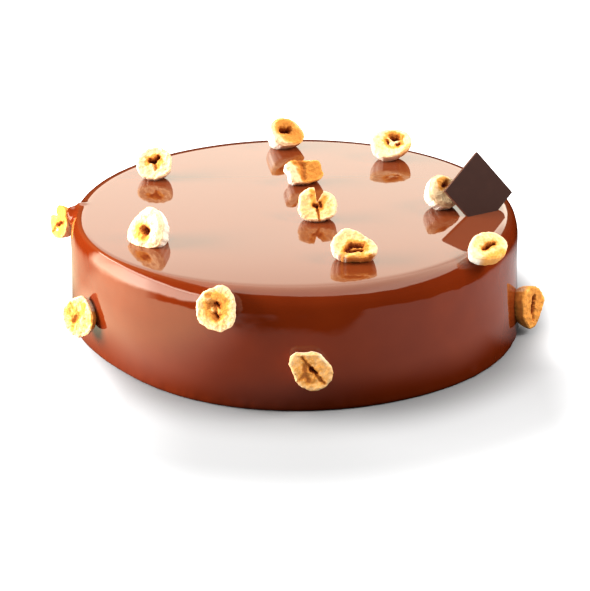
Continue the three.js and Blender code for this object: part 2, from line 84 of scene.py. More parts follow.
# Each nut: the place of its cut face's middle, the way the face looks (turn to the right of the
# front, lift above level, roll in its plane), its width, length and thickness, how steep its flanks
# are, how golden its flesh is, how soft its edge is if not 1, and the relative reach of its outline
# at ten equal steps counterclockwise from its right. A split is a wedge out of that outline: its
# point, bearing and opening; the centre is where the rings of points then close in. The marks are
# drawn on the cut face: a kind, a line of points, how far the mark reaches from that line, and how
# deep it goes.
NUTS = (
    {"name": "hazelnut_back_left", "at": (-58.8, 29.0, 53.6), "look": (0, 39, 0),
     "size": (15.1, 14.4, 7.5), "wall": 0.62, "gold": 0.12,
     "outline": (0.99, 1.03, 1.0, 0.95, 0.94, 0.97, 1.02, 1.0, 1.0, 1.03),
     "marks": (("hollow", ((-1.6, 1.0), (0.2, 0.9), (2.0, 2.7)), 0.95, 2.6),
               ("crack", ((0.4, 0.6), (0.7, -2.6)), 0.8, 1.0),
               ("toast", ((-2.9, -0.6), (-2.5, 2.1), (0.6, 3.5), (3.1, 0.8), (1.8, -1.8)), 1.0, 0))},
    {"name": "hazelnut_left", "at": (-55.9, -44.3, 53.3), "look": (-30, 32, 0),
     "size": (14.2, 15.7, 9.5), "wall": 0.35, "gold": 0.1, "soft": 2.6,
     "outline": (1.02, 0.95, 0.97, 0.98, 0.88, 1.0, 1.2, 1.03, 1.02, 1.24),
     "marks": (("hollow", ((-0.3, -1.0), (0.7, -1.7)), 1.6, 2.4),
               ("toast", ((-2.9, -0.6), (-2.6, -3.4), (0.0, -4.6), (1.6, -4.2)), 1.7, 0),
               ("pale", ((2.4, 5.0), (5.5, 1.0), (5.5, -4.0)), 3.0, 0))},
    {"name": "hazelnut_back", "at": (-2.7, 68.9, 54.8), "look": (34, 38, 0),
     "size": (15.2, 13.5, 11.0), "wall": 0.45, "gold": 0.75, "soft": 1.6,
     "outline": (0.95, 0.89, 0.9, 1.04, 1.1, 0.98, 1.12, 1.0, 1.04, 1.16),
     "marks": (("hollow", ((-2.6, 1.0), (0.8, 0.5)), 1.45, 3.0),
               ("toast", ((-1.0, 3.0), (3.0, -3.0)), 4.0, 0),
               ("pale", ((-7.5, -1.5), (-5.0, -6.5)), 2.4, 0))},
    {"name": "hazelnut_chunk", "at": (5.1, 21.7, 52.6), "look": (24, 34, 0),
     "size": (14.2, 10.4, 8.0), "wall": 0.3, "gold": 0.95,
     "outline": (0.98, 1.12, 0.86, 1.04, 1.36, 1.02, 1.2, 1.04, 1.02, 1.16),
     "marks": (("crack", ((-1.2, 6.0), (-1.0, 2.2)), 1.9, 1.8),
               ("crack", ((-1.0, 2.2), (-1.8, -3.0)), 1.1, 0.8),
               ("toast", ((-4.4, 4.4), (-1.2, 4.0)), 1.6, 0),
               ("toast", ((1.2, -1.6), (4.8, 0.0)), 3.8, 0),
               ("pale", ((-6.4, 2.0), (-5.6, -3.4)), 2.6, 0))},
    {"name": "hazelnut_split", "at": (9.2, -19.4, 53.1), "look": (0, 40, 0),
     "size": (15.5, 13.8, 7.0), "wall": 0.62, "gold": 0.5,
     "outline": (0.98, 0.95, 0.86, 1.06, 1.04, 0.98, 1.1, 1.03, 0.98, 1.04),
     "split": (-0.5, 0.3, 78, 36), "centre": (0.0, -1.8),
     "marks": (("hollow", ((-1.6, -0.4), (-0.3, -0.9)), 0.75, 1.5),
               ("hollow", ((1.0, 0.5), (1.2, -0.9)), 0.6, 1.0),
               ("crack", ((0.0, -1.0), (0.1, -3.4), (0.7, -6.6)), 0.45, 1.2),
               ("toast", ((-2.2, 5.8), (-1.6, 0.8), (0.8, -1.6), (2.6, 2.4)), 1.1, 0))},
    {"name": "hazelnut_back_right", "at": (42.5, 53.6, 54.3), "look": (6, 50, 0),
     "size": (18.4, 14.5, 8.5), "wall": 0.62, "gold": 0.15,
     "outline": (0.95, 1.01, 1.0, 0.97, 1.06, 1.0, 1.05, 1.02, 0.86, 0.84),
     "marks": (("hollow", ((0.4, 2.8), (2.4, 2.7)), 1.5, 2.6),
               ("hollow", ((-2.0, 1.4), (-1.5, -0.2)), 0.65, 1.1),
               ("hollow", ((2.0, -1.0), (3.3, -0.2)), 0.65, 1.1),
               ("toast", ((-3.5, 1.4), (-1.8, 4.4), (1.6, 5.2), (4.7, 3.2), (4.3, -0.2), (1.6, -2.2),
                          (-1.8, -1.6), (-3.5, 1.4)), 0.9, 0),
               ("pale", ((-0.6, -0.3), (1.4, 0.5)), 0.9, 0),
               ("toast", ((4.0, -6.4), (8.2, -2.0)), 2.2, 0))},
    {"name": "hazelnut_front_right", "at": (22.0, -61.3, 53.6), "look": (4, 52, 0),
     "size": (17.2, 12.6, 8.0), "wall": 0.35, "gold": 0.45,
     "outline": (0.86, 0.66, 0.76, 1.04, 0.94, 0.98, 1.04, 0.98, 1.03, 1.14),
     "marks": (("hollow", ((-3.2, -2.9), (-1.2, -0.8), (2.8, -1.3)), 0.9, 1.7),
               ("hollow", ((-2.8, -3.4), (2.6, -3.0)), 0.7, 1.5),
               ("toast", ((-3.6, -3.0), (-1.6, 0.4), (3.4, -0.4), (4.2, -2.6)), 1.2, 0),
               ("toast", ((-5.0, -6.4), (-4.4, -3.6)), 0.9, 0),
               ("toast", ((-2.0, -6.2), (5.4, -5.8)), 1.3, 0),
               ("crack", ((5.4, -6.0), (7.2, -5.4)), 0.6, 0.8))},
    {"name": "hazelnut_by_plaque", "at": (60.4, -6.4, 54.1), "look": (38, 42, 0),
     "size": (15.4, 14.2, 9.0), "wall": 0.62, "gold": 0.15, "soft": 2.4,
     "outline": (1.0, 0.98, 1.0, 1.02, 0.96, 1.02, 0.98, 1.0, 0.98, 1.0),
     "marks": (("hollow", ((0.6, 2.2), (2.2, 2.6)), 1.2, 2.0),
               ("toast", ((-1.6, 2.0), (-0.4, 4.4), (3.0, 5.0)), 1.5, 0),
               ("pale", ((-7.0, -2.0), (-3.5, -6.5)), 3.6, 0))},
    {"name": "hazelnut_right_rim", "at": (71.3, -58.0, 51.2), "look": (14, 58, 14),
     "size": (16.0, 12.9, 7.5), "wall": 0.45, "gold": 0.42, "soft": 1.4,
     "outline": (0.97, 0.98, 0.98, 0.94, 0.9, 0.98, 0.94, 0.88, 0.98, 0.97),
     "marks": (("hollow", ((-1.9, -0.5), (0.6, 0.3), (2.8, 0.3)), 0.9, 2.6),
               ("toast", ((-3.6, -6.2), (4.4, -5.4)), 2.4, 0),
               ("pale", ((-7.4, 2.0), (-6.4, -2.6)), 1.8, 0))},
    {"name": "hazelnut_front_rim", "at": (-27.6, -91.4, 40.8), "look": (-12, 22, 0),
     "size": (14.4, 16.4, 5.8), "wall": 0.62, "gold": 0.55,
     "outline": (0.99, 1.03, 1.04, 0.9, 0.96, 1.0, 1.0, 0.93, 1.03, 1.12),
     "marks": (("crack", ((-1.6, 1.3), (-0.2, 1.9), (1.2, 1.1)), 1.6, 1.1),
               ("hollow", ((-0.2, 1.7), (0.8, 0.9)), 0.6, 1.2),
               ("hollow", ((0.2, -2.0), (0.8, -2.9)), 0.5, 1.0),
               ("crack", ((0.0, -1.8), (0.9, -3.0)), 1.2, 1.0),
               ("toast", ((-3.4, 4.4), (0.0, 4.8), (3.6, 3.0)), 1.0, 0),
               ("toast", ((3.2, 2.0), (3.2, -1.4), (0.6, -3.8), (-2.4, -2.4), (-3.6, 1.2)), 1.2, 0),
               ("crack", ((-0.4, 0.8), (0.6, -2.0)), 0.7, 0.7))},
    {"name": "hazelnut_left_side", "at": (-83.3, -47.5, 17.9), "look": (-34, 12, 0),
     # its gold of 0.7 is partly toasting and partly painted shade that holds down the strong key light
     # on this nut
     "size": (16.0, 16.7, 5.6), "wall": 0.62, "gold": 0.7,
     "outline": (1.0, 0.93, 0.99, 0.82, 0.8, 0.92, 0.93, 0.96, 1.01, 1.04),
     "marks": (("crack", ((-1.4, -2.6), (0.0, -0.6)), 0.9, 0.8),
               ("toast", ((-0.5, -1.0), (-4.3, 0.6)), 1.1, 0),
               ("toast", ((0.0, -0.5), (2.6, 2.1), (3.2, 5.0)), 1.1, 0),
               ("toast", ((-1.2, -2.4), (-1.6, -6.1)), 0.7, 0),
               ("toast", ((-1.4, -2.4), (0.6, 0.6)), 2.2, 0),
               ("toast", ((-4.6, 1.4), (-4.0, 4.2), (-1.0, 1.4)), 1.0, 0),
               ("toast", ((7.8, 3.6), (7.9, -3.0)), 1.0, 0))},
    {"name": "hazelnut_front_side", "at": (6.4, -94.8, 17.6), "look": (4, 7, 0),
     "size": (15.0, 15.1, 6.0), "wall": 0.62, "gold": 0.8,
     "outline": (1.0, 0.84, 0.94, 0.96, 1.26, 0.94, 0.91, 0.93, 0.99, 1.02),
     "marks": (("crack", ((-3.4, 5.4), (-1.4, 2.5), (0.5, 0.0), (2.6, -2.5), (4.5, -4.6)), 0.6, 1.1),
               ("hollow", ((-0.4, 0.7), (1.3, -0.9)), 0.6, 1.3),
               ("crack", ((-2.6, 2.4), (-2.6, -0.5), (-1.4, -3.4)), 0.8, 0.5),
               ("crack", ((-2.6, -0.6), (-4.4, -3.2)), 0.7, 0.35),
               ("toast", ((-1.8, 1.6), (-2.0, -2.4), (0.0, -3.6)), 1.2, 0),
               ("pale", ((3.4, 5.4), (4.8, 4.2)), 0.9, 0))},
    {"name": "hazelnut_right_side", "at": (95.8, -24.0, 11.5), "look": (50, 8, 0),
     # its gold of 1.3 is partly toasting and partly painted shade, as this nut's face is turned from
     # the light
     "size": (16.4, 17.8, 10.4), "wall": 1.2, "gold": 1.3,
     "outline": (0.96, 0.88, 0.86, 1.01, 1.06, 0.98, 0.99, 1.03, 0.86, 0.76),
     "marks": (("hollow", ((0.6, 3.2), (-0.2, 0.2), (-0.8, -2.0)), 1.15, 2.6),
               ("crack", ((-0.8, -2.0), (-1.2, -5.2)), 0.7, 0.8),
               ("toast", ((-7.4, 5.4), (-8.2, 0.0), (-6.4, -5.6)), 3.2, 0),
               ("toast", ((0.0, 4.0), (0.0, -4.0)), 5.0, 0))},
    {"name": "hazelnut_left_rim", "at": (-96.4, 3.1, 36.9), "look": (-58, 16, 0),
     # its gold of 1.15 is partly toasting and partly painted shade that holds down the strong key light
     # on this nut
     "size": (15.4, 13.4, 6.6), "wall": 0.62, "gold": 1.15,
     "outline": (1.0, 0.92, 1.04, 1.0, 0.88, 1.02, 0.98, 1.0, 0.96, 1.0),
     "split": (-1.8, 1.2, 152, 58), "centre": (1.0, 0.0),
     "marks": (("hollow", ((-0.6, -1.6), (1.0, -0.2)), 0.9, 1.4),
               ("crack", ((1.4, 0.2), (4.6, 1.0)), 0.8, 1.0),
               ("crack", ((-0.8, -1.8), (-2.6, -4.6)), 0.8, 0.9),
               ("toast", ((-1.0, 5.6), (4.0, 4.4)), 2.8, 0),
               ("toast", ((3.0, -3.6), (5.0, -1.4)), 1.6, 0),
               ("pale", ((-1.8, -3.0), (0.4, -3.2)), 0.5, 0))},
)

MARK_KINDS = {"outline": 0, "hollow": 1, "crack": 2, "toast": 3, "pale": 4}
OUTLINE_STEPS = 72         # points of a drawn outline
SPLIT_STEPS = 4            # points down each side of a split
NUT_POINTS = {"Around": 132, "Rings": 60, "Face Rings": 40}
OUT_OF_REACH = 9.0         # times the reach of a mark
NUT_CROWN = 0.9            # under 1 makes the outside blunter at its crown
SEED_STEP = 0.1            # metres between the nuts' places in the random patterns

# The plaque stands on one corner, which is pushed into the glaze.
PLAQUE = {"name": "chocolate_plaque", "at": (73.0, -8.4, 54.1), "look": (29.5, 25, 34.4)}

# The camera that the photograph was taken with, as far as the cake's outlines tell.
CAMERA = {"at": (0.333, -581.32, 261.27), "down": 23.75, "lens": 93.41, "film": 36.0}

# The lights, which don't show in the glaze: width and height, and place, in metres.
LIGHTS = {
    "key": ((0.5, 0.36), (-0.69, -0.02, 0.21)),
    "top": ((0.7, 0.5), (-0.15, -0.05, 0.9)),
    "side": ((0.3, 0.3), (0.6, -0.1, 0.5)),
}
LIT_POINT = (0.0, 0.0, 0.03)
CARD_GLOW = 8.0            # of the painted glow that stands for a white card on the left, as the glaze mirrors it
BOX_GLOW = 10.5            # of the soft box above that card, as the glaze mirrors it
BACKDROP_GLOW = 1.05       # of the plain white behind the cake, as the camera sees it
FLOOR_HALF = 6.0           # metres from the floor's middle to its edges
STUDIO_GAMMA = 0.87        # a little under 1 gives the contrast of a product photograph

GLAZE_IOR = 1.5
NUT_ROUGHNESS = 0.62
DULL_SPECULAR = 0.3        # of the nuts and the chocolate, which shine little


# ---- settings a user would change ----------------------------------------------------------------

def length_setting(name, description, millimetres):
    return bpy.props.FloatProperty(
        name=name, description=description, default=millimetres * MM, min=0.0, unit="LENGTH")


def power_setting(name, description, watts):
    return bpy.props.FloatProperty(
        name=name, description=description, default=watts, min=0.0, unit="POWER")


def share_setting(name, description, default):
    return bpy.props.FloatProperty(
        name=name, description=description, default=default, min=0.0, max=1.0, subtype="FACTOR")


def colour_setting(name, description, colour):
    return bpy.props.FloatVectorProperty(
        name=name, description=description, default=colour, size=3, min=0.0, max=1.0, subtype="COLOR")


class GlazedBodySettings(bpy.types.PropertyGroup):
    radius: length_setting("Radius", "Radius of the wall just under the rim", 90.0)
    height: length_setting("Height", "Height of the glazed top", 46.3)
    rim_width: length_setting("Rim width", "How far the rounded top edge reaches in", 6.6)
    rim_drop: length_setting("Rim drop", "How far the rounded top edge reaches down", 7.4)
    soft_rim: length_setting("Soft rim", "How much further down it reaches on the left", 6.6)
    soft_inset: length_setting("Soft inset", "How much less it reaches in on the left", 5.0)
    back_rim: length_setting("Back rim", "How much further in it reaches at the back", 5.0)
    flare: length_setting("Flare", "How much wider the wall is at its foot", 1.8)
    foot_edge: length_setting("Foot edge", "Rounding where the glaze was trimmed at the foot", 1.0)
    uneven: length_setting("Unevenness", "How wavy the poured glaze is on the wall", 0.22)
    colour: colour_setting("Glaze", "Colour of the glaze", (0.192, 0.0285, 0.0046))
    top_colour: colour_setting("Top", "Colour of the glaze on the flat top", (0.173, 0.0365, 0.0092))
    deep_colour: colour_setting(
        "Deep glaze", "Colour where the glaze is thick", (0.150, 0.0205, 0.0034))
    # painted shade: the dark colour the wall turns to at its foot, in place of the contact shadow
    foot_shade_colour: colour_setting("Foot", "Colour of the glaze at the foot", (0.088, 0.0115, 0.0022))
    roughness: share_setting("Roughness", "Roughness of the mirror glaze", 0.035)


class HazelnutSettings(bpy.types.PropertyGroup):
    relief: length_setting("Break relief", "How rough the broken faces are", 0.55)
    skin_relief: length_setting("Skin relief", "How uneven the outside is", 0.28)
    edge: length_setting("Edge", "Rounding of the cut edge", 0.45)
    dish: length_setting("Dish", "How hollow the cut face is as a whole", 0.5)
    flesh: colour_setting("Flesh", "Colour of the pale flesh", (0.90, 0.66, 0.39))
    gold: colour_setting("Toasted flesh", "Colour of the toasted flesh", (0.82, 0.385, 0.082))
    brown: colour_setting("Hollow", "Colour of the hollow's walls", (0.36, 0.088, 0.012))
    core: colour_setting("Hollow floor", "Colour deep in the hollow", (0.12, 0.010, 0.003))
    skin: colour_setting("Skin", "Colour of the blanched outside", (0.92, 0.86, 0.72))


class PlaqueSettings(bpy.types.PropertyGroup):
    side: length_setting("Side", "Length of the plaque's sides", 22.5)
    thickness: length_setting("Thickness", "Thickness of the plaque", 1.2)
    edge: length_setting("Edge", "Rounding of the plaque's edges", 0.18)
    colour: colour_setting("Chocolate", "Colour of the dark chocolate", (0.044, 0.0195, 0.0155))
    cut_colour: colour_setting("Cut edge", "Colour of the cut edges", (0.12, 0.052, 0.034))
    roughness: share_setting("Roughness", "Roughness of the chocolate", 0.42)


class StudioSettings(bpy.types.PropertyGroup):
    key_power: power_setting("Key light", "Power of the large soft light on the left", 19.0)
    top_power: power_setting("Top light", "Power of the large soft light overhead", 3.4)
    side_power: power_setting("Side light", "Power of the soft light on the right", 6.0)
    fill: bpy.props.FloatProperty(
        name="Fill", description="Strength of the even light from all sides", default=0.52, min=0.0)


SETTINGS = {
    "cake_body": GlazedBodySettings,
    "cake_nuts": HazelnutSettings,
    "cake_plaque": PlaqueSettings,
    "cake_studio": StudioSettings,
}


# ---- formulas written as nodes -------------------------------------------------------------------

class Term:
    """What comes out of a node, so that a formula can be written in plain arithmetic."""

    def __init__(self, board, socket):
        self.board = board
        self.socket = socket

    def __add__(self, other):
        return self.board.math("ADD", self, other)

    def __sub__(self, other):
        return self.board.math("SUBTRACT", self, other)

    def __rsub__(self, other):
        return self.board.math("SUBTRACT", other, self)

    def __mul__(self, other):
        return self.board.math("MULTIPLY", self, other)

    def __truediv__(self, other):
        return self.board.math("DIVIDE", self, other)

    def __pow__(self, other):
        return self.board.math("POWER", self, other)

    def __neg__(self):
        return self.board.math("MULTIPLY", self, -1.0)

    __radd__ = __add__
    __rmul__ = __mul__


class Board:
    """Writes nodes into a tree, for shapes and for materials alike."""

    def __init__(self, tree):
        self.tree = tree

    def node(self, kind, values=None, **settings):
        made = self.tree.nodes.new(kind)
        for name, value in settings.items():
            setattr(made, name, value)
        for key, value in (values or {}).items():
            self.feed(made.inputs[key], value)
        return made

    def feed(self, socket, value):
        if isinstance(value, Term):
            self.tree.links.new(value.socket, socket)
        else:
            socket.default_value = value

    def term(self, made, output=0):
        return Term(self, made.outputs[output])

    def get(self, kind, values=None, output=0, **settings):
        """What comes out of a new node."""
        return self.term(self.node(kind, values, **settings), output)

    def math(self, operation, *values, clamp=False):
        return self.get("ShaderNodeMath", dict(enumerate(values)), operation=operation, use_clamp=clamp)

    def clamp(self, value):
        return self.math("ADD", value, 0.0, clamp=True)

    def least(self, *values):
        return self.math("MINIMUM", *values)

    def most(self, *values):
        return self.math("MAXIMUM", *values)

    def smooth(self, value, low, high):
        """Rises from 0 to 1 between low and high."""
        return self.get(
            "ShaderNodeMapRange", {"Value": value, "From Min": low, "From Max": high},
            interpolation_type="SMOOTHSTEP")

    def vector(self, x, y, z=0.0):
        return self.get("ShaderNodeCombineXYZ", {0: x, 1: y, 2: z})

    def parts(self, vector):
        made = self.node("ShaderNodeSeparateXYZ", {0: vector})
        return [self.term(made, axis) for axis in range(3)]

    def vector_math(self, operation, *values):
        return self.get("ShaderNodeVectorMath", dict(enumerate(values)), operation=operation)

    def scaled(self, vector, factor):
        return self.get("ShaderNodeVectorMath", {0: vector, "Scale": factor}, operation="SCALE")

    def length(self, x, y):
        return self.math("SQRT", x * x + y * y)

    def plus(self, a, b):
        return self.vector_math("ADD", a, b)

    def noise(self, spot, grain, detail=2.0, colour=False):
        """Random swells of about one grain, in metres, from -1 to 1 (or a vector of three)."""
        made = self.node("ShaderNodeTexNoise", {"Vector": spot, "Scale": 1.0 / grain, "Detail": detail})
        if colour:
            centred = self.vector_math("SUBTRACT", self.term(made, 1), (0.5, 0.5, 0.5))
            return self.scaled(centred, 2.0)
        return (self.term(made) - 0.5) * 2.0

    def blend(self, share, one, other):
        """One colour, going over into the other as the share rises from 0 to 1."""
        return self.get("ShaderNodeMix", {0: share, 6: one, 7: other}, 2, data_type="RGBA")

    def attribute(self, name):
        return self.get("ShaderNodeAttribute", output="Fac", attribute_name=name)


def opaque(colour):
    return (*colour, 1.0)


# ---- shapes made by node trees -------------------------------------------------------------------

def shape_tree(name, sizes, numbers=(), vectors=()):
    """A node tree for shapes with named inputs, and its board, drawing and inputs."""
    tree = bpy.data.node_groups.new(name, "GeometryNodeTree")
    tree.interface.new_socket("Drawing", in_out="INPUT", socket_type="NodeSocketGeometry")
    for size in sizes:
        tree.interface.new_socket(size, in_out="INPUT", socket_type="NodeSocketFloat")
    for number in numbers:
        tree.interface.new_socket(number, in_out="INPUT", socket_type="NodeSocketInt")
    for vector in vectors:
        tree.interface.new_socket(vector, in_out="INPUT", socket_type="NodeSocketVector")
    tree.interface.new_socket("Material", in_out="INPUT", socket_type="NodeSocketMaterial")
    tree.interface.new_socket("Shape", in_out="OUTPUT", socket_type="NodeSocketGeometry")
    board = Board(tree)
    entry = tree.nodes.new("NodeGroupInput")
    given = {socket.name: Term(board, socket) for socket in entry.outputs if socket.name}
    return tree, board, given


def grid_shares(board, given):
    """A sheet of points with its two shares, from 0 to 1, along and across."""
    sheet = board.get("GeometryNodeMeshGrid", {
        "Size X": 1.0, "Size Y": 1.0,
        "Vertices X": given["Around"] + 1, "Vertices Y": given["Rings"] + 1})
    x, y, _ = board.parts(board.get("GeometryNodeInputPosition"))
    return sheet, x + 0.5, y + 0.5


def keep(board, geometry, name, value):
    """Stores a value with the points, for the material to read."""
    return board.get(
        "GeometryNodeStoreNamedAttribute", {"Geometry": geometry, "Name": name, "Value": value},
        data_type="FLOAT", domain="POINT")


def close_tree(board, sheet, place, given):
    """Moves the points to their places, joins the seam and the poles, and gives the material."""
    shaped = board.get("GeometryNodeSetPosition", {"Geometry": sheet, "Position": place})
    joined = board.get("GeometryNodeMergeByDistance", {"Geometry": shaped, "Distance": TOUCHING})
    soft = board.get("GeometryNodeSetShadeSmooth", {"Geometry": joined})
    real = board.get("GeometryNodeRealizeInstances", {"Geometry": soft})
    painted = board.get("GeometryNodeSetMaterial", {"Geometry": real, "Material": given["Material"]})
    leave = board.tree.nodes.new("NodeGroupOutput")
    board.feed(leave.inputs[0], painted)


def grow(name, drawing, tree, values):
    """Runs a node tree on a drawing and keeps the result as a plain mesh that faces outward."""
    piece = bpy.data.objects.new(name, drawing)
    bpy.context.scene.collection.objects.link(piece)
    shape = piece.modifiers.new("shape", "NODES")
    shape.node_group = tree
    for item in tree.interface.items_tree:
        if item.name in values:
            shape[item.identifier] = values[item.name]
    bpy.context.view_layer.update()
    depsgraph = bpy.context.evaluated_depsgraph_get()
    mesh = bpy.data.meshes.new_from_object(
        piece.evaluated_get(depsgraph), preserve_all_data_layers=True, depsgraph=depsgraph)
    piece.modifiers.remove(shape)
    piece.data = mesh
    bpy.data.meshes.remove(drawing)
    mesh.name = name
    if not mesh.polygons:
        raise RuntimeError(f"{name} came out empty")
    face_outward(mesh)
    return piece


def face_outward(mesh):
    """Turns every face of a closed mesh outward."""
    work = bmesh.new()
    work.from_mesh(mesh)
    bmesh.ops.recalc_face_normals(work, faces=work.faces)
    work.to_mesh(mesh)
    work.free()


def hand_over(piece, node):
    """Puts a finished piece on the root body and hides the solid it stands for."""
    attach(piece, "root")
    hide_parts(node)


def aimed(at, look):
    """The place of what looks out along z by turn and lift, with x level before the roll."""
    turn, lift, roll = (math.radians(angle) for angle in look)
    out = Vector((math.sin(turn) * math.cos(lift), -math.cos(turn) * math.cos(lift), math.sin(lift)))
    right = Vector((math.cos(turn), math.sin(turn), 0.0))
    axes = Matrix((right, out.cross(right), out)).transposed().to_4x4()
    return Matrix.Translation(Vector(at) * MM) @ axes @ Matrix.Rotation(roll, 4, "Z")


# ---- materials -----------------------------------------------------------------------------------

def start_material(name):
    """A new material, its board, its shader, and the place in the object's own coordinates."""
    material = bpy.data.materials.new(name)
    material.use_nodes = True
    board = Board(material.node_tree)
    spot = board.get("ShaderNodeTexCoord", output="Object")
    return material, board, material.node_tree.nodes["Principled BSDF"], spot


def fine_relief_tree():
    """A shader group for a finely uneven surface: a normal from its grain, strength and depth."""
    name = "fine relief"
    if name in bpy.data.node_groups:
        return bpy.data.node_groups[name]
    tree = bpy.data.node_groups.new(name, "ShaderNodeTree")
    for given in ("Scale", "Detail", "Strength", "Depth"):
        tree.interface.new_socket(given, in_out="INPUT", socket_type="NodeSocketFloat")
    tree.interface.new_socket("Normal", in_out="OUTPUT", socket_type="NodeSocketVector")
    board = Board(tree)
    entry = tree.nodes.new("NodeGroupInput")
    scale, detail, strength, depth = (Term(board, socket) for socket in entry.outputs[:4])
    spot = board.get("ShaderNodeTexCoord", output="Object")
    grain = board.get("ShaderNodeTexNoise", {"Vector": spot, "Scale": scale, "Detail": detail})
    normal = board.get("ShaderNodeBump", {
        "Height": (grain - 0.5) * 2.0, "Strength": strength, "Distance": depth})
    board.feed(tree.nodes.new("NodeGroupOutput").inputs[0], normal)
    return tree


def roughen(board, shader, grain, detail, strength, depth):
    """Gives a shader the fine relief; grain and depth in metres."""
    board.feed(shader.inputs["Normal"], board.get(
        "ShaderNodeGroup", node_tree=fine_relief_tree(), values={
            "Scale": 1.0 / grain, "Detail": detail, "Strength": strength, "Depth": depth}))


# ---- the glazed body -----------------------------------------------------------------------------

def bearing_swell(board, bearing, degrees, spread):
    """A bell about one bearing; the cosine of the difference lets it meet itself round the back."""
    apart = 1.0 - board.math("COSINE", bearing - math.radians(degrees))
    return board.math("EXPONENT", apart * (-2.0 / math.radians(spread) ** 2))


def summed(swells):
    """All the swells together."""
    total = swells[0]
    for swell in swells[1:]:
        total = total + swell
    return total


def bead(board, spot, at, spread, rise):
    """A bell about one place, in millimetres: how far a bead of glaze pushes out, and up as well."""
    middle = tuple(value * MM for value in at)
    gap = board.get("ShaderNodeVectorMath", {0: spot, 1: middle}, 1, operation="DISTANCE")
    return board.math("EXPONENT", -((gap / (spread * MM)) ** 2.0)) * (rise * MM * math.sqrt(0.5))


def glazed_body_tree():
    """The body turned from a half section, given ring by ring: underside, foot, wall, rim and top."""
    tree, board, given = shape_tree("glazed body", BODY_SIZES, numbers=("Around", "Rings"))
    sheet, along, across = grid_shares(board, given)
    ring = across * given["Rings"]
    share = {}
    start = 0
    for part, count in BODY_RINGS.items():
        share[part] = board.clamp((ring - start) / count)
        start += count
    foot_turn = share["foot"] * QUARTER_TURN
    rim_turn = share["rim"] * QUARTER_TURN
    radius, flare, edge = given["Radius"], given["Flare"], given["Foot Edge"]
    bearing = along * (2 * math.pi) - math.pi
    soft, right, back, inset = (
        bearing_swell(board, bearing, *rim) for rim in (SOFT_RIM, RIGHT_RIM, BACK_RIM, INSET_RIM))
    rim_width = given["Rim Width"] + given["Back Rim"] * back - given["Soft Inset"] * inset
    rim_drop = given["Rim Drop"] + given["Soft Rim"] * (soft + right * RIGHT_SHARE)
    rim_out = board.most(board.math("COSINE", rim_turn), 0.0) ** (2 / RIM_POWER)
    rim_up = board.math("SINE", rim_turn) ** (2 / RIM_POWER)
    reach = (
        (radius + flare - edge) * share["underside"]
        + edge * board.math("SINE", foot_turn)
        + flare * ((1.0 - share["wall"]) ** 1.5 - 1.0)
        + rim_width * (rim_out - 1.0)
        - (radius - rim_width) * share["top"])
    height = (
        edge * (1.0 - board.math("COSINE", foot_turn))
        + (given["Height"] - rim_drop - edge) * share["wall"]
        + rim_drop * rim_up)
    # how far the glaze ran out at the foot, fading up the wall
    fade = board.clamp(1.0 - height / (28 * MM)) ** 1.5
    run = summed([
        bearing_swell(board, bearing, at, spread) * (push * MM) for at, push, spread in FOOT_RUNS])
    east = board.math("COSINE", bearing)
    north = board.math("SINE", bearing)
    spot = board.vector(east * reach, north * reach, height)
    # slow waves on the wall, a ragged trimmed foot and small waves on the rim
    on_wall = board.smooth(share["wall"], 0.0, 0.25) * (1.0 - board.smooth(share["rim"], 0.2, 0.9))
    slow = board.noise(spot, 34 * MM, 1.0) * given["Uneven"]
    low = 1.0 - board.smooth(height, 1.2 * MM, 5.0 * MM)
    ragged = board.noise(board.vector(east * reach, north * reach, 0.0), 5.5 * MM, 3.0) * (0.45 * MM)
    reach = reach + (run * fade + slow * on_wall + ragged * low * share["foot"]) * share["underside"]
    on_rim = board.smooth(share["wall"], 0.7, 1.0) * (1.0 - board.smooth(share["top"], 0.0, 0.05))
    reach = reach + board.noise(spot, 8 * MM, 2.0) * (0.09 * MM) * on_rim
    gathered = summed([bead(board, spot, *values) for values in GLAZE_BEADS])
    reach = reach + gathered
    height = height + gathered
    # the top is an almost still mirror
    still = board.noise(spot, 60 * MM, 0.0) * (0.05 * MM) * share["rim"]
    close_tree(board, sheet, board.vector(east * reach, north * reach, height + still), given)
    return tree


def glaze_material(settings):
    """The mirror glaze, a little cloudy."""
    material, board, shader, spot = start_material("mirror glaze")
    cloud = board.smooth(board.noise(spot, 28 * MM, 3.0), -0.5, 0.6)
    colour = board.blend(cloud, opaque(settings.deep_colour), opaque(settings.colour))
    # painted shade: the wall darkens toward the foot on its right half, in place of the floor's contact
    # shadow
    east, _, height = board.parts(spot)
    gathered = (1.0 - board.smooth(height, 0.0, 17 * MM)) * board.smooth(east, -75 * MM, -10 * MM)
    colour = board.blend(gathered * 0.8, colour, opaque(settings.foot_shade_colour))
    # and it looks browner on the flat top
    on_top = board.smooth(height, 44.4 * MM, 46.0 * MM)
    colour = board.blend(on_top, colour, opaque(settings.top_colour))
    board.feed(shader.inputs["Base Color"], colour)
    shader.inputs["Roughness"].default_value = settings.roughness
    shader.inputs["IOR"].default_value = GLAZE_IOR
    material.diffuse_color = opaque(settings.colour)
    return material


# ---- the hazelnut halves -------------------------------------------------------------------------

def drawn_outline(nut):
    """The nut's outline in its own plane, in millimetres, with the wedge of a split cut out of it."""
    width, length, _ = nut["size"]
    reaches = nut["outline"]
    count = len(reaches)
    points = []
    # a smooth curve through the reaches
    for step in range(OUTLINE_STEPS):
        place = step / OUTLINE_STEPS * count
        base = int(place)
        t = place - base
        p0, p1, p2, p3 = (reaches[(base + shift) % count] for shift in (-1, 0, 1, 2))
        cubic = 3 * (p1 - p2) + p3 - p0
        square = 2 * p0 - 5 * p1 + 4 * p2 - p3
        reach = p1 + 0.5 * t * (p2 - p0 + t * (square + t * cubic))
        angle = 2 * math.pi * step / OUTLINE_STEPS
        points.append((math.cos(angle) * reach * width / 2, math.sin(angle) * reach * length / 2))
    if "split" in nut:
        points = with_split(points, nut["split"])
    return points


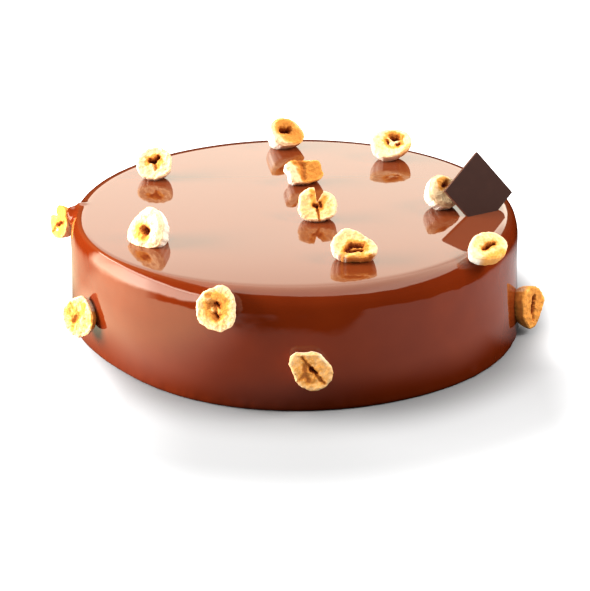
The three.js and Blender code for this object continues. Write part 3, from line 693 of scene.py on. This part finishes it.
def with_split(points, split):
    """The outline with a wedge taken out that opens outward along a bearing from x, y."""
    x, y, bearing, opening = split
    half = math.radians(opening / 2)

    def off(point):
        """How far a point's bearing lies from the wedge's own."""
        angle = math.atan2(point[1] - y, point[0] - x) - math.radians(bearing)
        return math.atan2(math.sin(angle), math.cos(angle))

    gone = [index for index, point in enumerate(points) if abs(off(point)) < half]
    first = next(index for index in gone if index - 1 not in gone)
    rest = [points[(first + shift) % len(points)] for shift in range(len(gone), len(points))]
    far = math.hypot(points[first][0] - x, points[first][1] - y)

    def side(turn, shares):
        """Points along one side of the wedge."""
        angle = math.radians(bearing) + turn
        out_x, out_y = math.cos(angle) * far, math.sin(angle) * far
        return [(x + out_x * share, y + out_y * share) for share in shares]

    steps = [step / SPLIT_STEPS for step in range(1, SPLIT_STEPS + 1)]
    return rest + side(-half, reversed(steps)) + [(x, y)] + side(half, steps)


def nut_drawing(nut):
    """The outline and the marks of a nut as a mesh of lines, each with its kind, reach and depth."""
    strokes = [("outline", drawn_outline(nut), 1.0, 0.0, True)]
    strokes += [(kind, line, reach, depth, False) for kind, line, reach, depth in nut["marks"]]
    points, edges, kinds, reaches, depths = [], [], [], [], []
    for kind, line, reach, depth, closed in strokes:
        start = len(points)
        points += [(x * MM, y * MM, 0.0) for x, y in line]
        count = len(line)
        steps = count if closed else count - 1
        edges += [(start + step, start + (step + 1) % count) for step in range(steps)]
        missing = len(edges) - len(kinds)
        kinds += [MARK_KINDS[kind]] * missing
        reaches += [reach * MM] * missing
        depths += [depth * MM] * missing
    mesh = bpy.data.meshes.new(nut["name"] + "_drawing")
    mesh.from_pydata(points, edges, [])
    for name, values in (("kind", kinds), ("reach", reaches), ("depth", depths)):
        layer = mesh.attributes.new(name, "INT" if name == "kind" else "FLOAT", "EDGE")
        layer.data.foreach_set("value", values)
    return mesh


def halved_nut_tree():
    """A nut half from its drawing: the broken cut face ring by ring, then the outside to the crown."""
    tree, board, given = shape_tree(
        "halved hazelnut",
        ("Thickness", "Wall", "Crown", "Edge", "Dish", "Break Relief", "Skin Relief", "Gold"),
        numbers=("Around", "Rings", "Face Rings"), vectors=("Centre", "Seed"))
    sheet, along, across = grid_shares(board, given)
    ring = across * given["Rings"]
    face = board.clamp(ring / given["Face Rings"])
    flank = board.clamp((ring - given["Face Rings"]) / (given["Rings"] - given["Face Rings"]))

    def lines(kind):
        """The lines of one kind in the drawing."""
        here = board.get("GeometryNodeInputNamedAttribute", {"Name": "kind"}, data_type="INT")
        same = board.get(
            "FunctionNodeCompare", {2: here, 3: MARK_KINDS[kind]}, data_type="INT", operation="EQUAL")
        return board.get("GeometryNodeSeparateGeometry", {
            "Geometry": given["Drawing"], "Selection": same}, domain="EDGE")

    def nearness(kind, spot):
        """How near a spot is to the marks of a kind, 0 on their line and 1 at their reach, and how
        deep they go there."""
        drawn = lines(kind)
        near = board.node("GeometryNodeProximity", {"Geometry": drawn, "Sample Position": spot},
                          target_element="EDGES")
        index = board.get(
            "GeometryNodeSampleNearest", {"Geometry": drawn, "Sample Position": spot}, domain="EDGE")
        told = []
        for name in ("reach", "depth"):
            value = board.get("GeometryNodeInputNamedAttribute", {"Name": name})
            told.append(board.get(
                "GeometryNodeSampleIndex", {"Geometry": drawn, "Value": value, "Index": index},
                domain="EDGE"))
        # a nut without marks of this kind lies out of their reach
        missed = (1.0 - board.term(near, "Is Valid")) * OUT_OF_REACH
        return board.term(near, "Distance") / board.most(told[0], TOUCHING) + missed, told[1]

    outline = board.get("GeometryNodeMeshToCurve", {"Mesh": lines("outline")})
    edge_spot = board.get("GeometryNodeSampleCurve", {"Curves": outline, "Factor": along}, 1)
    ragged = 1.0 + board.noise(board.plus(edge_spot, given["Seed"]), 1.9 * MM, 3.0) * 0.085
    edge_spot = board.scaled(edge_spot, ragged)
    inward = board.vector_math("SUBTRACT", edge_spot, given["Centre"])
    face_spot = board.plus(given["Centre"], board.scaled(inward, face))
    seeded = board.plus(face_spot, given["Seed"])
    wander = board.scaled(board.noise(seeded, 1.5 * MM, 3.0, colour=True), 0.85 * MM)
    wandered = board.vector_math("MULTIPLY", board.plus(face_spot, wander), (1.0, 1.0, 0.0))
    hollow, hollow_depth = nearness("hollow", wandered)
    crack, crack_depth = nearness("crack", wandered)
    toast, _ = nearness("toast", wandered)
    pale, _ = nearness("pale", wandered)
    # the cut face: dished, pitted, broken into small planes, with its edge rounded off
    broken = board.noise(seeded, 2.4 * MM, 3.0) * given["Break Relief"]
    planes = board.get(
        "ShaderNodeTexVoronoi", {"Vector": seeded, "Scale": 1 / (2.1 * MM)}, feature="F1") - 0.45
    broken = broken + planes * given["Break Relief"] * 1.1
    crumbs = board.noise(seeded, 1.1 * MM, 2.0) * 0.5
    rounded = board.smooth(face, 1.0 - given["Edge"] / (4.5 * MM), 1.0)
    drop = (
        given["Dish"] * (1.0 - face * face)
        + given["Edge"] * rounded
        + hollow_depth * (1.0 - board.smooth(hollow, 0.1, 1.4)) * (1.0 + crumbs)
        + crack_depth * (1.0 - board.smooth(crack, 0.1, 1.5))
        - broken * (1.0 - rounded * 0.6))
    # the outside: down and in from the edge to the crown
    turned = flank * QUARTER_TURN
    shrink = board.most(board.math("COSINE", turned), 0.0) ** given["Wall"]
    fall = (given["Thickness"] - given["Edge"]) * board.math("SINE", turned) ** given["Crown"]
    down = board.vector(0.0, 0.0, -(drop * (1.0 - flank) + given["Edge"] * flank) - fall)
    spot = board.plus(board.scaled(face_spot, shrink), down)
    outer = board.smooth(flank, 0.0, 0.12)
    swell = board.noise(board.plus(spot, given["Seed"]), 3.6 * MM, 2.0) * given["Skin Relief"] * outer
    sideways = board.vector_math("NORMALIZE", board.vector_math("MULTIPLY", spot, (1.0, 1.0, 0.3)))
    spot = board.plus(spot, board.scaled(sideways, swell * (1.0 - board.smooth(flank, 0.8, 1.0))))
    inner = 1.0 - outer
    for name, value in (
            ("hollow", (1.0 - board.smooth(hollow, 0.1, 1.4)) * inner * (1.0 + crumbs * 0.5)),
            ("halo", (1.0 - board.smooth(hollow, 0.8, 2.7)) * inner),
            ("crack", (1.0 - board.smooth(crack, 0.2, 1.8)) * inner),
            ("toasted", 1.0 - board.smooth(toast, 0.4, 1.35)),
            ("pale", 1.0 - board.smooth(pale, 0.5, 1.3)),
            ("outside", outer),
            ("lip", board.smooth(face, 0.72, 0.96)),
            ("gold", given["Gold"])):
        sheet = keep(board, sheet, name, value)
    # the points move last, because all the shares are read from their places on the sheet
    close_tree(board, sheet, spot, given)
    return tree


def hazelnut_material(settings):
    """Pale flesh toasted golden, brown in the hollows and the cracks, and the blanched outside."""
    material, board, shader, spot = start_material("toasted hazelnut")
    read = board.attribute
    flesh, gold, brown, core, skin = (
        opaque(colour) for colour in
        (settings.flesh, settings.gold, settings.brown, settings.core, settings.skin))
    mottle = board.noise(spot, 2.2 * MM, 4.0)
    grain = board.noise(spot, 0.9 * MM, 3.0)
    toasted = (
        read("gold") + mottle * 0.5 + grain * 0.55 + read("halo") * 0.7 + read("toasted") * 0.9
        + read("crack") * 0.7 - read("pale") * 1.2 - read("lip") * 0.4)
    face = board.blend(board.clamp(toasted), flesh, gold)
    veins = board.smooth(board.noise(spot, 1.6 * MM, 5.0), 0.15, 0.7) * 0.3
    tinged = board.clamp(veins + read("toasted") * 0.75 + read("gold") * 0.45 - read("pale") * 1.2)
    colour = board.blend(read("outside"), face, board.blend(tinged, skin, gold))
    scorched = board.least(board.most(toasted - 1.0, 0.0) * 0.6, 0.36) * (1.0 - read("outside"))
    rusty = read("hollow") * 1.3 + read("crack") * 0.35 + grain * 0.55 * read("halo") + scorched
    colour = board.blend(board.clamp(rusty), colour, brown)
    colour = board.blend(board.smooth(read("hollow") + grain * 0.3, 0.66, 1.05), colour, core)
    board.feed(shader.inputs["Base Color"], colour)
    roughen(board, shader, 0.7 * MM, 4.0, 0.6, 0.3 * MM)
    shader.inputs["Roughness"].default_value = NUT_ROUGHNESS
    shader.inputs["Specular IOR Level"].default_value = DULL_SPECULAR
    material.diffuse_color = flesh
    return material


# ---- the plaque ----------------------------------------------------------------------------------

def plaque_material(settings):
    """Dark chocolate with a faint bloom, lighter where it was cut."""
    material, board, shader, spot = start_material("dark chocolate")
    bloom = board.smooth(board.noise(spot, 5.0 * MM, 4.0), -0.2, 0.9) * 0.12
    colour = board.blend(bloom, opaque(settings.colour), opaque(settings.cut_colour))
    colour = board.blend(board.attribute("cut"), colour, opaque(settings.cut_colour))
    board.feed(shader.inputs["Base Color"], colour)
    roughen(board, shader, 0.6 * MM, 3.0, 0.2, 0.06 * MM)
    shader.inputs["Roughness"].default_value = settings.roughness
    shader.inputs["Specular IOR Level"].default_value = DULL_SPECULAR
    material.diffuse_color = opaque(settings.colour)
    return material


# ---- operators -----------------------------------------------------------------------------------

class CAKE_OT_glazed_body(bpy.types.Operator):
    """Builds the mirror-glazed body of the cake"""
    bl_idname = "cake.glazed_body"
    bl_label = "Glazed body"

    def execute(self, context):
        settings = context.scene.cake_body
        sizes = {name: getattr(settings, name.lower().replace(" ", "_")) for name in BODY_SIZES}
        piece = grow("mirror_glaze", bpy.data.meshes.new("glaze_drawing"), glazed_body_tree(), {
            **sizes, "Around": BODY_AROUND, "Rings": sum(BODY_RINGS.values()),
            "Material": glaze_material(settings)})
        hand_over(piece, "glazed_cake")
        return {"FINISHED"}


class CAKE_OT_hazelnuts(bpy.types.Operator):
    """Builds the fourteen broken hazelnut halves"""
    bl_idname = "cake.hazelnuts"
    bl_label = "Hazelnut halves"

    def execute(self, context):
        settings = context.scene.cake_nuts
        tree = halved_nut_tree()
        material = hazelnut_material(settings)
        for order, nut in enumerate(NUTS):
            centre = nut.get("centre", (0.0, 0.0))
            piece = grow(nut["name"] + "_half", nut_drawing(nut), tree, {
                **NUT_POINTS, "Thickness": nut["size"][2] * MM, "Wall": nut["wall"],
                "Crown": NUT_CROWN, "Edge": settings.edge * nut.get("soft", 1.0),
                "Dish": settings.dish, "Break Relief": settings.relief,
                "Skin Relief": settings.skin_relief, "Gold": nut["gold"],
                "Centre": (centre[0] * MM, centre[1] * MM, 0.0),
                "Seed": (0.0, 0.0, order * SEED_STEP), "Material": material})
            piece.data.transform(aimed(nut["at"], nut["look"]))
            hand_over(piece, nut["name"])
        return {"FINISHED"}


class CAKE_OT_plaque(bpy.types.Operator):
    """Builds the small square chocolate plaque"""
    bl_idname = "cake.plaque"
    bl_label = "Chocolate plaque"

    def execute(self, context):
        settings = context.scene.cake_plaque
        work = bmesh.new()
        bmesh.ops.create_cube(work, size=1.0)
        bmesh.ops.scale(work, verts=work.verts, vec=(settings.side, settings.side, settings.thickness))
        bmesh.ops.bevel(work, geom=work.edges, offset=settings.edge, segments=3, profile=0.5,
                        affect="EDGES")
        cut = work.verts.layers.float.new("cut")
        inner = settings.side / 2 - settings.edge * 0.9    # the face ends one edge's rounding inside
        for vert in work.verts:
            vert[cut] = 1.0 if max(abs(vert.co.x), abs(vert.co.y)) > inner else 0.0
        mesh = bpy.data.meshes.new("chocolate_plaque_bar")
        work.to_mesh(mesh)
        work.free()
        mesh.transform(aimed(PLAQUE["at"], PLAQUE["look"]))
        mesh.materials.append(plaque_material(settings))
        piece = bpy.data.objects.new("chocolate_plaque_bar", mesh)
        context.scene.collection.objects.link(piece)
        face_outward(mesh)
        hand_over(piece, PLAQUE["name"])
        return {"FINISHED"}


class CAKE_OT_studio(bpy.types.Operator):
    """Sets up the pale floor, the soft lights and the camera"""
    bl_idname = "cake.studio"
    bl_label = "Studio"

    def execute(self, context):
        settings = context.scene.cake_studio
        lay_floor(context.scene)
        light_studio(context.scene, settings)
        place_camera(context.scene)
        context.scene.view_settings.view_transform = "Standard"
        context.scene.view_settings.gamma = STUDIO_GAMMA
        return {"FINISHED"}


# ---- the studio ----------------------------------------------------------------------------------

def table_in_glaze(board, east, north, away):
    """The painted glow of the table and of a white card as the glaze mirrors them, and the blue it
    lacks.
    """
    from_middle = board.length(east + 0.01, north + 0.015) - 0.022 * board.smooth(east, 0.04, 0.1)
    slant = (north + 0.05) / board.most(-east, 0.05)
    reach = 0.16 + 0.045 * board.smooth(north, -0.05, 0.0)
    table = board.most(
        1.0 - board.smooth(from_middle, 0.152, reach),
        board.smooth(-east, 0.11, 0.13) * board.smooth(slant, -0.45, -0.25)
        * (1.0 - board.smooth(slant, 0.3, 0.5)))
    # painted shade in the glow: dark close to the foot and behind the cake
    near = (
        away - 0.016 * board.smooth(east, -0.02, 0.05) * (1.0 - board.smooth(north, -0.045, -0.028))
        + 0.012 * board.smooth(-east, 0.03, 0.08) * (1.0 - 0.8 * board.smooth(north, -0.075, -0.045)))
    beyond = north + 0.9 * board.least(east + 0.1, 0.0)
    table = table * (1.0 - board.smooth(beyond, 0.04, 0.09)) * board.smooth(near, 0.085, 0.12)
    # a painted pool of light: brighter on the left, though less so toward the back
    left = board.smooth(-east, 0.04, 0.105)
    lift = 2.7 - 0.8 * board.smooth(north, -0.06, 0.0) - 1.3 * board.smooth(north, -0.015, 0.015)
    table = table * (0.5 + left * lift + 0.28 * board.smooth(east, 0.03, 0.12))
    # a painted glow on the floor further left stands for a white card, seen only in the glaze
    west = -east + 0.022 * (1.0 - board.smooth(slant, -0.75, -0.3))
    card = (
        board.smooth(west, 0.165, 0.2) * board.smooth(slant, -1.35, -1.1)
        * (1.0 - 0.45 * board.smooth(slant, -0.25, 0.25)) * (1.0 - board.smooth(slant, 0.32, 0.48)))
    return table + card * CARD_GLOW, left * (0.3 - card * 0.16)


def lay_floor(scene):
    """A large plain floor lit with painted light: it glows plain white past a painted contact shadow,
    and only the table near the cake shows in the glaze.
    """
    work = bmesh.new()
    bmesh.ops.create_grid(work, x_segments=1, y_segments=1, size=FLOOR_HALF)
    mesh = bpy.data.meshes.new("studio_floor")
    work.to_mesh(mesh)
    work.free()
    material, board, shader, spot = start_material("studio floor")
    east, north, _ = board.parts(spot)
    away = board.length(east, north)
    path = board.node("ShaderNodeLightPath")
    mirrored, bounced, seen = (
        board.term(path, ray) for ray in ("Is Glossy Ray", "Is Diffuse Ray", "Is Camera Ray"))
    shown = seen * 0.26 + bounced * 0.06
    board.feed(shader.inputs["Base Color"], board.vector(shown, shown, shown))
    # painted light and shadow: past a painted contact shadow round the foot, the floor glows
    # overexposed plain white to the camera
    edge = away + 0.012 * board.smooth(-east, 0.035, 0.075)
    white = board.smooth(edge, 0.09, 0.118) * (
        0.26 + 0.15 * board.smooth(east, 0.0, 0.09) + 0.35 * board.smooth(east, 0.09, 0.115)
        + 0.32 * board.smooth(-east, 0.03, 0.08) + 0.6 * board.smooth(-east, 0.06, 0.085)
        + 0.5 * board.smooth(north, -0.06, -0.03))
    white = white + board.smooth(away, 0.13, 0.168) * 0.52
    # painted light: to bounced rays the floor glows only from a little way out from the foot
    bounce_glow = board.smooth(away, 0.095, 0.16) * 1.6
    table, blue_lost = table_in_glaze(board, east, north, away)
    # painted light: the floor glows white to the camera, as the table and card to the glaze, and as a
    # bounce glow to bounced rays
    board.feed(shader.inputs["Emission Color"], board.vector(1.0, 1.0, 1.0 - blue_lost * mirrored))
    board.feed(shader.inputs["Emission Strength"], white * seen + table * mirrored + bounce_glow * bounced)
    material.cycles.emission_sampling = "NONE"
    shader.inputs["Roughness"].default_value = 1.0
    shader.inputs["Specular IOR Level"].default_value = 0.0
    mesh.materials.append(material)
    floor = bpy.data.objects.new("studio_floor", mesh)
    scene.collection.objects.link(floor)


def soft_light(scene, name, power, size, at):
    """A rectangular light that lights the cake but doesn't show in the glaze."""
    lamp = bpy.data.lights.new(name, "AREA")
    lamp.shape = "RECTANGLE"
    lamp.size, lamp.size_y = size
    lamp.energy = power
    light = bpy.data.objects.new(name, lamp)
    light.location = at
    light.rotation_euler = (Vector(LIT_POINT) - Vector(at)).to_track_quat("-Z", "Y").to_euler()
    light.visible_glossy = False
    light.visible_camera = False
    scene.collection.objects.link(light)


def light_studio(scene, settings):
    """The lights, and around them what the glaze mirrors of the studio."""
    for name, (size, at) in LIGHTS.items():
        soft_light(scene, name + "_light", getattr(settings, name + "_power"), size, at)
    world = bpy.data.worlds.new("studio")
    scene.world = world
    world.use_nodes = True
    board = Board(world.node_tree)
    background = world.node_tree.nodes["Background"]
    east, north, up = board.parts(board.get("ShaderNodeTexCoord", output="Generated"))
    above = board.most(up, 0.02)
    over_x = east / above
    over_y = north / above
    # a wide cloth overhead, a brighter back wall below it, and a soft box on the left
    cloth = (
        board.smooth(over_x, -0.85, -0.65) * (1.0 - board.smooth(over_x, 1.25, 1.5))
        * board.smooth(over_y, -1.0, -0.85) * (1.0 - board.smooth(over_y, 3.4, 4.2))
        * board.smooth(up, 0.02, 0.06))
    tone = (
        3.5 - 1.2 * board.smooth(over_y, 1.0, 1.7) + 1.1 * board.smooth(over_y, 2.1, 2.55)
        + 0.9 * board.smooth(over_x, 0.3, 0.7))
    leftward = board.most(-east, 0.05)
    along = north / leftward
    high = up / leftward
    box = (
        board.smooth(along, -1.35, -1.1) * (1.0 - board.smooth(along - high * 0.566, 0.32, 0.46))
        * board.smooth(up, -0.01, 0.02) * (1.0 - board.smooth(high, 0.07, 0.16))
        * board.smooth(-east, 0.05, 0.15))
    mirrored = cloth * tone + box * BOX_GLOW + 0.03
    path = board.node("ShaderNodeLightPath")
    glossy = board.term(path, "Is Glossy Ray")
    seen = board.term(path, "Is Camera Ray")
    bright = settings.fill * (1.0 - glossy) + mirrored * glossy
    bright = bright * (1.0 - seen) + seen * BACKDROP_GLOW
    cream = 1.0 - glossy * 0.14
    board.feed(background.inputs["Color"], board.vector(bright, bright, bright * cream))
    background.inputs["Strength"].default_value = 1.0


def place_camera(scene):
    """The camera, as it stood for the photograph."""
    camera = bpy.data.cameras.new("camera")
    camera.sensor_fit = "VERTICAL"
    camera.sensor_height = CAMERA["film"]
    camera.lens = CAMERA["lens"]
    camera.clip_start = 0.01
    camera.clip_end = 50.0
    holder = bpy.data.objects.new("camera", camera)
    holder.location = Vector(CAMERA["at"]) * MM
    holder.rotation_euler = (math.radians(90 - CAMERA["down"]), 0.0, 0.0)
    scene.collection.objects.link(holder)
    bpy.context.scene.camera = holder


# ---- the add-on ----------------------------------------------------------------------------------

PIECES = (CAKE_OT_glazed_body, CAKE_OT_hazelnuts, CAKE_OT_plaque, CAKE_OT_studio)


class CAKE_PT_pieces(bpy.types.Panel):
    """Lists what the cake is built from"""
    bl_idname = "CAKE_PT_pieces"
    bl_label = "Glazed cake"
    bl_space_type = "VIEW_3D"
    bl_region_type = "UI"
    bl_category = "Glazed cake"

    def draw(self, context):
        for piece in PIECES:
            self.layout.operator(piece.bl_idname)
        for name, group in SETTINGS.items():
            settings = getattr(context.scene, name)
            box = self.layout.box()
            for field in group.__annotations__:
                box.prop(settings, field)


def register():
    for kind in (*SETTINGS.values(), *PIECES, CAKE_PT_pieces):
        bpy.utils.register_class(kind)
    for name, group in SETTINGS.items():
        setattr(bpy.types.Scene, name, bpy.props.PointerProperty(type=group))


def unregister():
    for name in SETTINGS:
        delattr(bpy.types.Scene, name)
    for kind in reversed((*SETTINGS.values(), *PIECES, CAKE_PT_pieces)):
        bpy.utils.unregister_class(kind)


def main():
    register()
    bpy.ops.cake.glazed_body()
    bpy.ops.cake.hazelnuts()
    bpy.ops.cake.plaque()
    bpy.ops.cake.studio()


if __name__ == "__main__":
    main()
